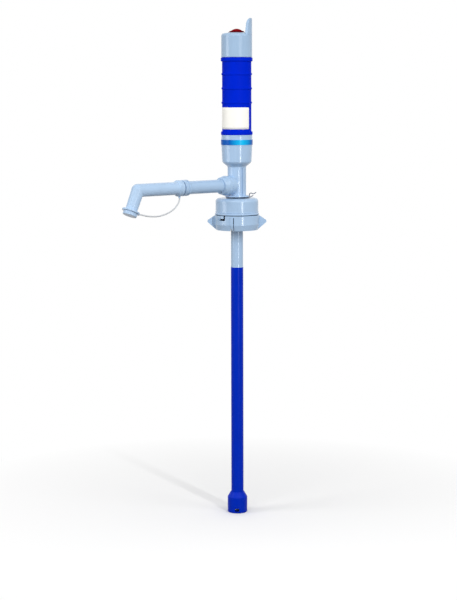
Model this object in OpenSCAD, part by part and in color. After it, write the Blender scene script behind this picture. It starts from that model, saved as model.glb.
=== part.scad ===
// Battery-powered pump for a large water jug.
// A motor in the handle turns a long shaft, whose impeller at the foot lifts water to the spout.
// The origin is the centre of the jug's rim seat, +Z is up and the spout points along -X.

/* [Jug neck] */
// Outer diameter of the jug neck that the cap fits
jug_neck_d = 55; // [53:0.1:57]
// Radial room between the jug neck and the cap's bore
neck_clear = 0.4; // [0.2:0.1:1]

/* [Neck cap] */
// Wall of the cap's bell
cap_wall = 2.1; // [1.6:0.1:3]
// Thickness of the cap's top plate
cap_top_t = 3; // [2:0.1:4]
// Depth of the bell below the rim seat
bell_drop = 18; // [15:0.5:24]
// Rounding of the bell's top edge
bell_round = 5; // [2:0.5:6]
// How far the bell's lip stands out
lip_flare = 1; // [0.5:0.1:2]
// Height of the bell's lip
lip_h = 2.6; // [2:0.1:5]
// Wall of the skirt inside the clamp ring
skirt_wall = 1.2; // [1:0.1:1.6]
// Length of the skirt below the bell
skirt_h = 12; // [9:0.5:15]
// Thickness of the rubber sleeve round the skirt
sleeve_t = 0.8; // [0.6:0.1:1.2]
// Thickness of the neck gasket
gasket_t = 2; // [1:0.5:3]
// Radial width of the neck gasket
gasket_w = 7; // [4:0.5:9]

/* [Clamp ring] */
// Room between the bell's lip and the clamp ring
ring_gap = 0.8; // [0.5:0.1:2.5]
// Height of the clamp ring
ring_h = 20.7; // [18:0.1:24]
// Wall of the clamp ring
ring_wall = 1.6; // [1.5:0.1:3]
// Height of the ring's tapered foot
ring_taper_h = 8; // [5:0.5:10]
// Height of the gripping lip inside the ring's foot
grip_lip_h = 3.5; // [2:0.5:5]
// Reach of each ear from the axis
ear_reach = 41.5; // [38:0.5:46]
// Thickness of each ear
ear_t = 5; // [3:0.5:8]
// Rounding of an ear's tip
ear_tip_r = 2.4; // [1:0.1:3]
// Depth of an ear's tip below the ring's top
ear_tip_drop = 8.7; // [6:0.1:12]
// Diameter of the two bayonet studs on the skirt
stud_d = 2; // [1.6:0.1:3]
// Turn of the ring from locked to open, in degrees
lock_turn = 17; // [10:1:20]

/* [Pump body] */
// Diameter of the column under the motor
column_d = 26; // [25:0.5:30]
// Diameter of the flange at the column's foot
flange_d = 34; // [31:0.5:38]
// Thickness of that flange
flange_t = 3.3; // [3:0.1:4]
// Height of the column from the flange to the shoulder
column_h = 40.9; // [40:0.1:46]
// Height of the sloping shoulder
shoulder_h = 5.1; // [4.5:0.1:8]
// Diameter of the motor housing at its foot
housing_foot_d = 41; // [39.5:0.1:42]
// Diameter of the motor housing at its top
housing_d = 43.2; // [42.8:0.1:45]
// Height of the motor housing above the shoulder
housing_h = 38.7; // [37:0.1:42]
// Wall of the motor housing
housing_wall = 2.2; // [1.8:0.1:2.4]
// Width of the two grooves along the column
groove_w = 3.2; // [1.5:0.1:4]
// Depth of those grooves
groove_depth = 1.5; // [0.8:0.1:2]
// Angle between the spout and each groove, in degrees
groove_angle = 80; // [70:1:110]
// Radius of the water gallery in the column
gallery_r = 8; // [7.5:0.1:9]
// Height of the trim band
band_h = 7.1; // [5:0.1:10]
// Thickness of the trim band
band_t = 0.9; // [0.6:0.1:1.2]
// Distance from the housing's top edge to the band
band_drop = 6.7; // [4:0.1:9]

/* [Outlet] */
// Height of the outlet pipe's axis above the rim seat
outlet_z = 23; // [22.5:0.1:24]
// Outer diameter of the outlet pipe
pipe_d = 18; // [17:0.1:20]
// Bore of the outlet pipe
pipe_bore = 14; // [12:0.1:15]
// Diameter of the boss on the column
boss_d = 26.6; // [26.2:0.1:27.4]
// Reach of the boss from the axis
boss_reach = 18.5; // [17.5:0.5:22]
// Diameter of the coupling nut
nut_d = 27.4; // [26.8:0.1:30]
// Length of the coupling nut
nut_l = 12.5; // [11.5:0.5:15]
// Reach of the pipe's end from the axis
pipe_reach = 102; // [95:1:115]
// Diameter of the collars where the spout turns
collar_d = 22; // [20:0.1:24]
// Length of the pipe's collar
collar_l = 9; // [7:0.5:14]
// Length of the spout's collar
spout_collar_l = 6; // [5:0.5:12]
// Room between the two collars
collar_gap = 1.6; // [0.4:0.1:2.5]
// Length of the collars' tapers
collar_taper = 2.2; // [1:0.1:4]

/* [Spout] */
// Outer diameter of the spout's arm
arm_d = 17.6; // [16.5:0.1:19]
// Wall of the spout
spout_wall = 2; // [1.6:0.1:2.4]
// Reach of the bend's corner from the axis
bend_reach = 178; // [165:0.5:190]
// Lean of the spout's leg from straight down, in degrees
leg_lean = 24; // [20:0.5:35]
// Length of the leg from the bend's corner
leg_l = 34; // [30:0.5:42]
// Diameter of the leg's end
leg_end_d = 16; // [15.5:0.1:17]
// Length of the spout's tail inside the pipe
tail_l = 13; // [9:0.5:16]
// Diameter of the cap's rim
cap_rim_d = 24.4; // [22:0.1:26]
// Thickness of the cap's rim
cap_rim_t = 2.2; // [1.5:0.1:3]
// Wall of the cap
spout_cap_wall = 1.3; // [1:0.1:1.6]
// Depth of the cap over the leg
cap_depth = 5.5; // [4:0.5:8]
// Diameter of the cap's tether
tether_d = 2; // [1.4:0.1:2.4]

/* [Grip and batteries] */
// Diameter of one battery
cell_d = 33.2; // [32.2:0.1:33.4]
// Length of one battery with its terminal
cell_l = 61.5; // [60:0.1:62]
// Inner diameter of the battery tube
battery_bore = 34.8; // [34.6:0.1:35]
// Wall of the battery tube
battery_wall = 1.6; // [1.4:0.1:1.7]
// Height of the spring under the batteries
battery_spring_h = 8.7; // [7.5:0.1:10]
// Diameter of the grip sleeve
grip_d = 40.8; // [40.6:0.1:42]
// Diameter of the grip's end beads
grip_bead_d = 44.2; // [43:0.1:45.5]
// Height of the grip's top bead
top_bead_h = 5.2; // [3:0.1:7]
// Height of the grip's foot bead
foot_bead_h = 4.6; // [3:0.1:9]
// How far the grip's ribs stand out
grip_rib = 0.9; // [0.4:0.1:1.2]
// Spacing of the grip's ribs
grip_rib_pitch = 19.7; // [16:0.1:22]

/* [Top cap] */
// Diameter of the top cap
top_d = 43; // [42:0.1:44]
// Height of the top cap
top_h = 34; // [32:0.5:38]
// Wall of the top cap
top_wall = 1.8; // [1.5:0.1:1.9]
// Thickness of the top cap's roof
roof_t = 3; // [2.5:0.1:4]
// Rounding of the roof's edge
roof_round = 4; // [2:0.5:6]
// Height of the tongue above the roof
tongue_h = 19.8; // [15:0.2:24]
// Thickness of the tongue
tongue_t = 2.2; // [1.8:0.1:3]
// Half angle of the tongue's foot, in degrees
tongue_half = 46; // [40:1:60]
// Direction of the tongue from +X, in degrees
tongue_dir = -42; // [-60:1:-20]

/* [Switch] */
// Diameter of the push button
button_d = 16; // [14:0.1:18]
// Height of the button above the roof
button_rise = 5.2; // [4.5:0.1:8]
// Travel of the button
button_travel = 2.5; // [1.5:0.1:3]
// Diameter of the rubber boot around the button
boot_d = 23.4; // [21:0.1:24.5]
// Height of the boot
boot_h = 2.2; // [1.2:0.1:2.6]

/* [Drive] */
// Diameter of the motor can
motor_d = 28; // [26:0.1:30]
// Length of the motor can
motor_l = 24; // [20:0.5:24.5]
// Diameter of the drive shaft
shaft_d = 3; // [2.5:0.1:4]
// Diameter of the shaft coupling
coupling_d = 9; // [7:0.1:10]
// Length of the shaft coupling
coupling_l = 10; // [8:0.5:11]
// Radial running clearance of a shaft
run_gap = 0.05; // [0.03:0.01:0.08]

/* [Stem and foot] */
// Outer diameter of the stem under the cap
stem_d = 17; // [16.5:0.1:17.5]
// Bore of the stem
stem_bore = 12.6; // [11:0.1:13]
// Length of the stem below the rim seat
stem_l = 92.6; // [70:0.2:120]
// Outer diameter of the dip tube
dip_d = 17.6; // [17:0.1:18.4]
// Bore of the dip tube
dip_bore = 13.6; // [13.2:0.1:14]
// Depth of the foot below the rim seat
foot_drop = 446.5; // [380:0.5:520]
// Diameter of the foot
foot_d = 28.2; // [26:0.1:32]
// Height of the foot below its shoulder
foot_h = 22.2; // [20:0.2:28]
// Height of the foot's shoulder
foot_shoulder_h = 7.4; // [5:0.1:10]
// Wall of the foot
foot_wall = 2; // [1.6:0.1:2.6]
// Number of shaft bushes in the dip tube
bush_count = 4; // [2:1:6]
// Number of impeller blades
blade_count = 4; // [3:1:6]

/* [Hidden] */
$fn = 64;
// Clearance between pieces that are fixed together
fit = 0.1;
// Clearance between pieces that move on each other
play = 0.3;
// Break of a moulded piece's outer edges
edge = 0.5;

// Neck cap and gasket
bore_r = jug_neck_d / 2 + neck_clear;
bell_r = bore_r + cap_wall;
lip_r = bell_r + lip_flare;
skirt_r = bore_r + skirt_wall;
sleeve_r = skirt_r + fit + sleeve_t;
cap_top_z = gasket_t + cap_top_t;
bell_foot_z = -bell_drop;
skirt_foot_z = bell_foot_z - skirt_h;
gasket_r = bore_r - fit;
bead_r = 0.5;
lip_edge = 0.6;

// Clamp ring
ring_in_r = sleeve_r + play;
ring_r = ring_in_r + ring_wall;
ring_top_z = bell_foot_z - ring_gap;
ring_foot_z = ring_top_z - ring_h;
ring_foot_r = bore_r + 1.4;
ring_cone_h = 2.5;
ear_dir = -42;
stud_r = stud_d / 2;
stud_dir = 176;
stud_recess = 0.8;
stud_z = ring_top_z - 5.2;
slot_half = stud_r + play;
slot_half_angle = asin(slot_half / ring_in_r);
slot_lead_angle = 0.6;
seam_dir = 219;
seam_w = 1;
seam_bridge = 2;
seam_notch_h = 3;
seam_notch_w = 2.6;
lug_rise = 1;
lug_angle = 7;

// Pump body, from the cap's top upwards
column_r = column_d / 2;
flange_z = cap_top_z + play;
column_z = flange_z + flange_t;
shoulder_z = column_z + column_h;
housing_z = shoulder_z + shoulder_h;
housing_top_z = housing_z + housing_h;
housing_r = housing_d / 2;
spigot_r = gallery_r + 2.2;
spigot_z = gasket_t - play;
band_z = housing_top_z - band_drop - band_h;
band_groove = 0.3;
band_in_r = housing_r - band_groove;
column_fillet = 1.2;
housing_edge = 1.4;

// Motor bay, shaft seal and battery seat inside the pump body
motor_r = motor_d / 2;
motor_floor_z = housing_z - 3;
motor_top_z = motor_floor_z + motor_l;
motor_bay_z = housing_z + 1;
motor_bay_r = housing_foot_d / 2 - housing_wall;
motor_boss_r = 3.5;
motor_boss_h = 1;
motor_shaft_r = 1;
retainer_t = 2.4;
retainer_top_z = motor_top_z + retainer_t;
motor_room = 0.6;
post_sink = 0.3;
post_r = (motor_bay_r + post_sink - motor_r - motor_room) / 2;
post_at = motor_r + motor_room + post_r;
pilot_r = 0.9;
screw_l = 8;
tube_seat_depth = 12;
tube_seat_z = housing_top_z - tube_seat_depth;
coupling_r = coupling_d / 2;
coupling_top_z = motor_floor_z - motor_boss_h - 0.5;
coupling_z = coupling_top_z - coupling_l;
chamber_r = coupling_r + 1.2;
gallery_top_z = outlet_z + pipe_bore / 2 + 2.5;
seal_seat_z = gallery_top_z + 2.5;
seal_h = 3.5;
shaft_r = shaft_d / 2;

// Outlet, measured outwards from the axis
pipe_r = pipe_d / 2;
pipe_bore_r = pipe_bore / 2;
boss_r = boss_d / 2;
nut_r = nut_d / 2;
boss_start = column_r - 2.3;
thread_r = boss_r - 2.2;
thread_l = 5;
thread_end = boss_reach + thread_l;
outlet_gasket_t = 1;
pipe_start = thread_end + outlet_gasket_t;
pipe_flange_t = 2.5;
pipe_flange_r = thread_r - 0.2;
nut_step = pipe_start + pipe_flange_t + fit;
nut_end = boss_reach + nut_l;
nut_taper_at = boss_reach + nut_l * 0.42;
nut_end_r = pipe_r + 2.9;
nut_edge = 0.8;
nut_ledge = 0.6;
collar_r = collar_d / 2;
collar_groove = 0.5;
collar_groove_w = 1.2;

// Spout and its cap
arm_r = arm_d / 2;
arm_bore_r = arm_r - spout_wall;
tail_r = pipe_bore_r - run_gap;
tail_wall = 1.9;
tail_bore_r = tail_r - tail_wall;
bore_lap = 2;
tail_start = pipe_reach - tail_l;
spout_start = pipe_reach + collar_gap;
arm_start = spout_start + spout_collar_l + collar_taper;
leg_end_r = leg_end_d / 2;
leg_bore_r = leg_end_r - spout_wall;
leg_top_r = arm_r - 0.1;
elbow_step = 0.05;
o_ring_r = 0.9;
o_ring_at = tail_start + tail_l / 2;
o_ring_mid_r = tail_r - o_ring_r;
cap_seat_r = leg_end_r + (leg_top_r - leg_end_r) * cap_depth / leg_l;
cap_bore_r = cap_seat_r + play;
cap_r = cap_bore_r + spout_cap_wall;
cap_floor_t = 1.5;
cap_rim_r = cap_rim_d / 2;
cap_foot_z = -leg_l - play - cap_floor_t;
cap_top_end_z = -leg_l + cap_depth;
cap_rim_z = cap_top_end_z - cap_rim_t / 2;
stub_r = 1.5;
stub_l = 2.4;
stub_sink = 0.8;
cap_stub_rise = 17.5;

// Grip, battery tube and batteries
cell_rise = 3.9;
tube_rise = 6;
cell_z = retainer_top_z + battery_spring_h;
cell_top_z = cell_z + 2 * cell_l;
tube_top_z = cell_top_z - cell_rise;
grip_z = housing_top_z;
grip_top_z = tube_top_z - tube_rise;
grip_l = grip_top_z - grip_z;
grip_r = grip_d / 2;
grip_bead_r = grip_bead_d / 2;
tube_r = battery_bore / 2 + battery_wall;
cell_r = cell_d / 2;
cell_nub_r = 4.75;
cell_nub_h = 1.5;
cell_edge = 1;
battery_spring_r = 11;
battery_spring_top_r = 5;
strip_t = 0.4;
strip_angle = 16;
rib_half_h = 1.4;
rib_count = 3;

// Top cap, switch and button
top_z = grip_top_z + play;
top_r = top_d / 2;
top_in_r = top_r - top_wall;
roof_z = top_z + top_h;
roof_under_z = roof_z - roof_t;
tongue_top_z = roof_z + tongue_h;
tongue_top_half = tongue_half - 7;
tongue_crown_r = 120;
tongue_corner_r = 8;
tongue_edge_r = 0.8 * tongue_t;
roof_drop = 0.9;
roof_flat_r = 12.5;
button_r = button_d / 2;
button_hole_r = button_r + play + 0.1;
button_crown = 3.2;
button_top_z = roof_z + button_rise;
button_flange_r = button_r + 1.6;
button_flange_t = 1.7;
button_flange_z = roof_under_z - play - button_flange_t;
plunger_r = 3;
contact_gap = 0.3;
contact_t = 1.3;
contact_r = 6;
carrier_t = 2.2;
carrier_z = cell_top_z + contact_gap + contact_t;
carrier_top_z = carrier_z + carrier_t;
carrier_r = top_in_r - fit;
switch_l = 16;
switch_w = 12;
switch_h = 9.2;
switch_top_z = carrier_top_z + switch_h;
plunger_foot_z = switch_top_z - 2;
plunger_well = 3 + button_travel;
carrier_post_at = 15;
carrier_post_r = 3;
carrier_posts = 3;
boot_r = boot_d / 2;
boot_top_r = button_hole_r + 0.7;

// Stem, dip tube and foot
stem_r = stem_d / 2;
stem_bore_r = stem_bore / 2;
stem_flange_r = spigot_r + 3;
stem_flange_t = 3.5;
stem_neck_h = 6;
dip_r = dip_d / 2;
dip_bore_r = dip_bore / 2;
joint_l = 12;
joint_wall = 1.5;
foot_z = -foot_drop;
foot_r = foot_d / 2;
foot_shoulder_z = foot_z + foot_h;
foot_top_z = foot_shoulder_z + foot_shoulder_h;
foot_top_r = dip_r + 1;
dip_sink = 9;
dip_end_z = foot_top_z - dip_sink;
foot_bore_r = foot_r - foot_wall;
strainer_t = 2;
strainer_r = foot_bore_r - fit;
strainer_holes = 10;
strainer_hole_r = 1.5;
strainer_hole_at = 8.2;
intake_w = 6;
intake_h = 5;
intake_count = 4;
chamber_top_z = dip_end_z - 2.5;
impeller_r = foot_bore_r - 1.2;
impeller_hub_r = 3.6;
impeller_h = 9;
impeller_z = foot_z + strainer_t + 1.2;
blade_t = 1.4;
blade_pitch = 40;
bush_h = 6;
bush_hub_r = 2.8;
bush_rim_t = 1.3;
bush_spoke_w = 1.3;
bush_top_drop = 14;
bush_foot_rise = 8;
bush_top_z = -stem_l - joint_l - bush_top_drop;
bush_foot_z = dip_end_z + bush_foot_rise;
shaft_top_z = coupling_z + coupling_l / 2;
shaft_foot_z = foot_z + 0.6;

// Wire clip in the groove under the column's flange
clip_wire_r = 0.6;
clip_groove_h = 1.6;
clip_groove_r = column_r + 1.5;
clip_mid_r = clip_groove_r + clip_wire_r + fit;
clip_z = flange_z + clip_groove_h / 2;
clip_dir = -42;
clip_open = 20;
clip_ear_angle = 12;
clip_bend_r = flange_d / 2 + 1.5;
clip_ear_r = clip_bend_r + 6.5;
clip_ear_rise = 3.4;

// Route of the cap's tether as distance from the axis and depth under the outlet, between its stubs
tether_route = [
    [106, 16.5], [107.2, 19.5], [109.6, 22.5], [113, 25.8], [117.5, 29], [123, 31.6], [129.5, 33.8],
    [136.5, 35.4], [143.5, 36.2], [150.5, 36.2], [157.5, 35.6], [164.5, 34.5]
];

// Steel, rubber and plastic colours
light_blue = [0.67, 0.77, 0.87];
royal_blue = [0.0, 0.15, 0.78];
cyan_blue = [0.1, 0.6, 0.85];
steel = [0.75, 0.76, 0.78];
brass = [0.78, 0.65, 0.35];
rubber_black = [0.1, 0.1, 0.12];
signal_red = [0.75, 0.03, 0.05];
soft_grey = [0.73, 0.75, 0.76];

// A cylinder between two heights
module rod(r, z0, z1) {
    translate([0, 0, z0]) cylinder(r = r, h = z1 - z0);
}

// A straight tube between two heights
module tube(r_out, r_in, z0, z1) {
    difference() {
        rod(r_out, z0, z1);
        rod(r_in, z0 - 1, z1 + 1);
    }
}

// A cone between two heights
module taper(r0, r1, z0, z1) {
    translate([0, 0, z0]) cylinder(r1 = r0, r2 = r1, h = z1 - z0);
}

// The part of an outline's upper outer corner that a rounding of radius f takes away
module corner_waste(r, z, f) {
    difference() {
        translate([r - f, z - f]) square(f + 1);
        translate([r - f, z - f]) circle(r = f);
    }
}

// Turns a shape made along +Z so that it runs along the outlet, outwards from the axis
module along_outlet() {
    translate([0, 0, outlet_z]) rotate([0, -90, 0]) children();
}

// The frame of the spout's leg: its origin is the bend's corner and the leg runs along -Z
module along_leg() {
    translate([-bend_reach, 0, outlet_z]) rotate([0, leg_lean, 0]) children();
}

// Copies at equal angles round the axis
module around(count, start = 0) {
    for (i = [0 : count - 1]) rotate([0, 0, start + i * 360 / count]) children();
}

// A round tube swept along a list of points, with flat ends square to the route
function unit(v) = v / norm(v);
function route_tangent(p, i) =
    unit(p[min(i + 1, len(p) - 1)] - p[max(i - 1, 0)]);
function side_of(t) = abs(t[2]) < 0.9 ? unit(cross([0, 0, 1], t)) : unit(cross([0, 1, 0], t));
function ring_points(p, t, r, sides) =
    let (a = side_of(t), b = cross(t, a))
    [for (k = [0 : sides - 1]) p + r * (cos(k * 360 / sides) * a + sin(k * 360 / sides) * b)];
module swept_tube(points, r, sides) {
    last = len(points) - 1;
    rings = [for (i = [0 : last]) each ring_points(points[i], route_tangent(points, i), r, sides)];
    start_face = [[for (k = [0 : sides - 1]) k]];
    end_face = [[for (k = [sides - 1 : -1 : 0]) last * sides + k]];
    walls = [
        for (i = [0 : last - 1]) for (k = [0 : sides - 1])
            let (n = (k + 1) % sides, a = i * sides, b = (i + 1) * sides)
            each [[a + k, b + k, b + n], [a + k, b + n, a + n]]
    ];
    polyhedron(points = rings, faces = concat(start_face, walls, end_face));
}

// A coil about the axis that climbs evenly
function coil_points(r0, r1, z0, z1, turns, steps) = [
    for (i = [0 : turns * steps])
        let (u = i / (turns * steps), a = 360 * i / steps, r = r0 + (r1 - r0) * u)
        [r * cos(a), r * sin(a), z0 + (z1 - z0) * u]
];

// The least room between a coil's turns, found over points at least half a turn apart
function coil_gap(points, wire_r, steps) =
    min([for (i = [0 : len(points) - 1]) for (j = [i + steps / 2 : 1 : len(points) - 1])
        norm(points[i] - points[j])]) - 2 * wire_r;

module neck_cap() {
    color(light_blue) {
        rotate_extrude() difference() {
            union() {
                polygon([
                    [spigot_r + run_gap, gasket_t], [bore_r, gasket_t], [bore_r, skirt_foot_z],
                    [skirt_r, skirt_foot_z], [skirt_r, bell_foot_z],
                    [lip_r - lip_edge, bell_foot_z], [lip_r, bell_foot_z + lip_edge],
                    [lip_r, bell_foot_z + lip_h - lip_flare], [bell_r, bell_foot_z + lip_h],
                    [bell_r, cap_top_z], [spigot_r + run_gap, cap_top_z]
                ]);
                translate([bell_r, bell_foot_z + lip_h + 1]) circle(r = bead_r);
            }
            corner_waste(bell_r, cap_top_z, bell_round);
        }
        around(2, stud_dir)
            translate([bore_r + skirt_wall / 2, 0, stud_z]) rotate([0, 90, 0])
                cylinder(r = stud_r, h = ring_r - stud_recess - bore_r - skirt_wall / 2);
    }
}

module neck_gasket() {
    color(rubber_black) tube(gasket_r, gasket_r - gasket_w, 0, gasket_t);
}

// The rubber round the skirt that the clamp ring turns on, with a hole for each stud
module neck_sleeve() {
    color(rubber_black) difference() {
        tube(sleeve_r, skirt_r + fit, skirt_foot_z + 1, bell_foot_z - fit);
        around(2, stud_dir) translate([skirt_r - 1, 0, stud_z]) rotate([0, 90, 0])
            cylinder(r = stud_r + fit, h = sleeve_t + 3);
    }
}

// Outline of one ear, with its tip rounded between two straight edges
module ear_outline() {
    tip = [ear_reach - ear_tip_r, ring_top_z - ear_tip_drop];
    head = [ring_r - ring_wall / 2, ring_top_z - 0.4];
    heel = [ring_foot_r, ring_foot_z + 0.4];
    upper = tangent_angle(head, tip, ear_tip_r, 1);
    lower = tangent_angle(heel, tip, ear_tip_r, -1);
    steps = 6;
    polygon(concat(
        [[ring_foot_r - 0.7, ring_foot_z + 0.4], heel],
        [for (i = [0 : steps]) let (a = lower + (upper - lower) * i / steps)
            tip + ear_tip_r * [cos(a), sin(a)]],
        [head, [ring_r - ring_wall / 2, ring_foot_z + ring_taper_h]]
    ));
}
function tangent_angle(from, centre, r, turn) =
    let (d = from - centre) atan2(d[1], d[0]) - turn * acos(r / norm(d));

module clamp_ring() {
    color(light_blue) difference() {
        union() {
            rotate_extrude() polygon([
                [bore_r, ring_foot_z], [ring_foot_r, ring_foot_z],
                [ring_r, ring_foot_z + ring_taper_h], [ring_r, ring_top_z - edge],
                [ring_r - edge, ring_top_z], [ring_in_r, ring_top_z],
                [ring_in_r, ring_foot_z + grip_lip_h + ring_cone_h],
                [bore_r, ring_foot_z + grip_lip_h]
            ]);
            around(2, ear_dir) rotate([90, 0, 0]) translate([0, 0, -ear_t / 2])
                linear_extrude(ear_t) ear_outline();
            around(2, seam_dir - lug_angle - 1) rotate_extrude(angle = lug_angle) lug_outline();
        }
        around(2, stud_dir) bayonet_slot();
        around(2, seam_dir) translate([bore_r - 1, -seam_w / 2, ring_foot_z - 1])
            cube([ring_r - bore_r + lug_rise + 2, seam_w, ring_h + 1 - seam_bridge]);
        around(2, seam_dir - lug_angle) translate([bore_r - 1, -seam_notch_w / 2, ring_foot_z - 1])
            cube([ring_r - bore_r + lug_rise + 2, seam_notch_w, seam_notch_h + 1]);
    }
}

// The raised lug beside the ring's seam, as an outline
module lug_outline() {
    polygon([
        [ring_foot_r - 0.6, ring_foot_z + 1], [ring_foot_r + 0.3 + lug_rise, ring_foot_z + 1],
        [ring_r + lug_rise, ring_foot_z + ring_taper_h], [ring_r + lug_rise, ring_top_z - 2],
        [ring_r - 0.6, ring_top_z - 1.4], [ring_r - 0.6, ring_foot_z + ring_taper_h]
    ]);
}

// An L-shaped slot: the stud drops in from the top edge, and the ring then turns over it
module bayonet_slot() {
    rotate([0, 0, -slot_half_angle]) rotate_extrude(angle = lock_turn + 2 * slot_half_angle)
        translate([ring_in_r - 1, stud_z - slot_half]) square([ring_wall + 2, 2 * slot_half]);
    rotate([0, 0, lock_turn - slot_half_angle])
        rotate_extrude(angle = 2 * slot_half_angle + slot_lead_angle)
            translate([ring_in_r - 1, stud_z]) square([ring_wall + 2, ring_top_z - stud_z + 1]);
}

module pump_body() {
    color(light_blue) difference() {
        union() {
            rotate_extrude() polygon([
                [0, spigot_z], [spigot_r, spigot_z], [spigot_r, flange_z], [clip_groove_r, flange_z],
                [clip_groove_r, flange_z + clip_groove_h], [flange_d / 2, flange_z + clip_groove_h],
                [flange_d / 2, column_z], [column_r, column_z], [column_r, shoulder_z - column_fillet],
                [column_r + column_fillet / 2, shoulder_z],
                [housing_foot_d / 2 - housing_edge, housing_z - housing_edge / 2],
                [housing_foot_d / 2, housing_z + housing_edge], [housing_r, band_z], [band_in_r, band_z],
                [band_in_r, band_z + band_h], [housing_r, band_z + band_h],
                [housing_r, housing_top_z - edge], [housing_r - edge, housing_top_z], [0, housing_top_z]
            ]);
            along_outlet() {
                rotate_extrude() polygon([
                    [0, boss_start], [boss_r, boss_start], [boss_r, boss_reach - nut_edge],
                    [boss_r - nut_edge, boss_reach], [0, boss_reach]
                ]);
                rod(thread_r, 0, thread_end);
            }
        }
        rod(gallery_r, spigot_z - 1, gallery_top_z);
        rod(shaft_r + 1, gallery_top_z - 1, seal_seat_z + 1);
        rod(chamber_r, seal_seat_z, motor_floor_z + 1);
        rod(motor_r + fit, motor_floor_z, motor_bay_z + 1);
        difference() {
            rod(motor_bay_r, motor_bay_z, tube_seat_z + 1);
            around(2, 90) translate([post_at, 0, 0]) rod(post_r, motor_bay_z - 1, motor_top_z);
        }
        around(2, 90) translate([post_at, 0, 0]) rod(pilot_r, motor_top_z - screw_l, motor_top_z + 1);
        rod(tube_r + fit, tube_seat_z, housing_top_z + 1);
        along_outlet() rod(pipe_bore_r, 0, thread_end + 1);
        for (s = [-1, 1]) rotate([0, 0, 180 + s * groove_angle])
            translate([column_r - groove_depth, -groove_w / 2, column_z + 0.8])
                cube([groove_depth + 1, groove_w, column_h - 2.4]);
    }
}

module trim_band() {
    color(cyan_blue) tube(band_in_r + band_t, band_in_r + fit / 2, band_z, band_z + band_h);
}

module battery_tube() {
    color(light_blue) tube(tube_r, battery_bore / 2, tube_seat_z, tube_top_z);
}

// A half-round rib round the grip, as part of its outline
module grip_rib_outline(z) {
    translate([grip_r - 1, z - rib_half_h]) square([1 + grip_rib / 2, 2 * rib_half_h]);
    translate([grip_r, z]) intersection() {
        circle(r = rib_half_h);
        translate([0, -rib_half_h]) square([grip_rib, 2 * rib_half_h]);
    }
}

// A bead round the grip's end, as part of its outline
module grip_bead_outline(z, h) {
    in_r = tube_r + fit;
    polygon([
        [in_r, z], [grip_bead_r - edge, z], [grip_bead_r, z + edge], [grip_bead_r, z + h - edge],
        [grip_bead_r - edge, z + h], [in_r, z + h]
    ]);
}

module grip_sleeve() {
    top_rib_z = grip_top_z - top_bead_h - grip_rib_pitch + 2.2;
    color(royal_blue) rotate_extrude() {
        translate([tube_r + fit, grip_z]) square([grip_r - tube_r - fit, grip_l]);
        grip_bead_outline(grip_z, foot_bead_h);
        grip_bead_outline(grip_top_z - top_bead_h, top_bead_h);
        for (i = [0 : rib_count - 1]) grip_rib_outline(top_rib_z - i * grip_rib_pitch);
    }
}

// One battery cell standing on z
module battery(z) {
    rotate_extrude() polygon([
        [0, z], [cell_r - cell_edge, z], [cell_r, z + cell_edge],
        [cell_r, z + cell_l - cell_nub_h - cell_edge], [cell_r - cell_edge, z + cell_l - cell_nub_h],
        [cell_nub_r, z + cell_l - cell_nub_h], [cell_nub_r, z + cell_l], [0, z + cell_l]
    ]);
}
module lower_battery() {
    color([0.55, 0.56, 0.58]) battery(cell_z);
}
module upper_battery() {
    color([0.55, 0.56, 0.58]) battery(cell_z + cell_l);
}

module battery_spring() {
    wire_r = 0.6;
    steps = 16;
    points = coil_points(battery_spring_r, battery_spring_top_r,
        retainer_top_z + wire_r, cell_z - wire_r, 4, steps);
    echo("battery_spring least gap to itself in mm", coil_gap(points, wire_r, steps));
    color(steel) swept_tube(points, wire_r, 6);
}

module contact_strip() {
    color(brass) rotate([0, 0, -strip_angle / 2]) rotate_extrude(angle = strip_angle)
        translate([battery_bore / 2 - fit - strip_t, retainer_top_z])
            square([strip_t, tube_top_z - retainer_top_z]);
}

module motor_retainer() {
    color([0.2, 0.2, 0.22]) difference() {
        rod(motor_bay_r - fit, motor_top_z, retainer_top_z);
        around(2, 90) translate([post_at, 0, 0])
            rod(pilot_r + 0.2, motor_top_z - 1, retainer_top_z + 1);
    }
}

module retainer_screws() {
    color(steel) around(2, 90) translate([post_at, 0, 0]) screw(retainer_top_z, screw_l, 1.6, 1.2);
}

// A round-headed screw that points down from a seat
module screw(seat_z, length, head_r, head_h) {
    rod(pilot_r - fit / 2, seat_z - length, seat_z);
    taper(head_r, head_r - 0.4, seat_z, seat_z + head_h);
}

module motor_can() {
    color(steel) difference() {
        union() {
            rod(motor_r, motor_floor_z, motor_top_z);
            rod(motor_boss_r, motor_floor_z - motor_boss_h, motor_floor_z + 1);
        }
        rod(motor_shaft_r + run_gap, motor_floor_z - motor_boss_h - 1, motor_top_z - 4);
    }
}

module shaft_seal() {
    color(rubber_black) tube(chamber_r - fit, shaft_r + run_gap, seal_seat_z, seal_seat_z + seal_h);
}

// A point of the wire clip, by its direction, distance from the axis and height above the groove's middle
function clip_point(turn, r, rise) =
    [r * cos(clip_dir + turn), r * sin(clip_dir + turn), clip_z + rise];
module column_clip() {
    ear = [[clip_ear_r, clip_ear_rise], [clip_bend_r, 0]];
    loop = [for (a = [clip_open : 10 : 360 - clip_open]) clip_point(a, clip_mid_r, 0)];
    first = [for (e = ear) clip_point(clip_ear_angle, e[0], e[1])];
    last = [for (i = [1 : -1 : 0]) clip_point(-clip_ear_angle, ear[i][0], ear[i][1])];
    color(steel) swept_tube(concat(first, loop, last), clip_wire_r, 8);
}

module outlet_gasket() {
    color(rubber_black) along_outlet() tube(pipe_flange_r, pipe_bore_r, thread_end, pipe_start);
}

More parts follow.
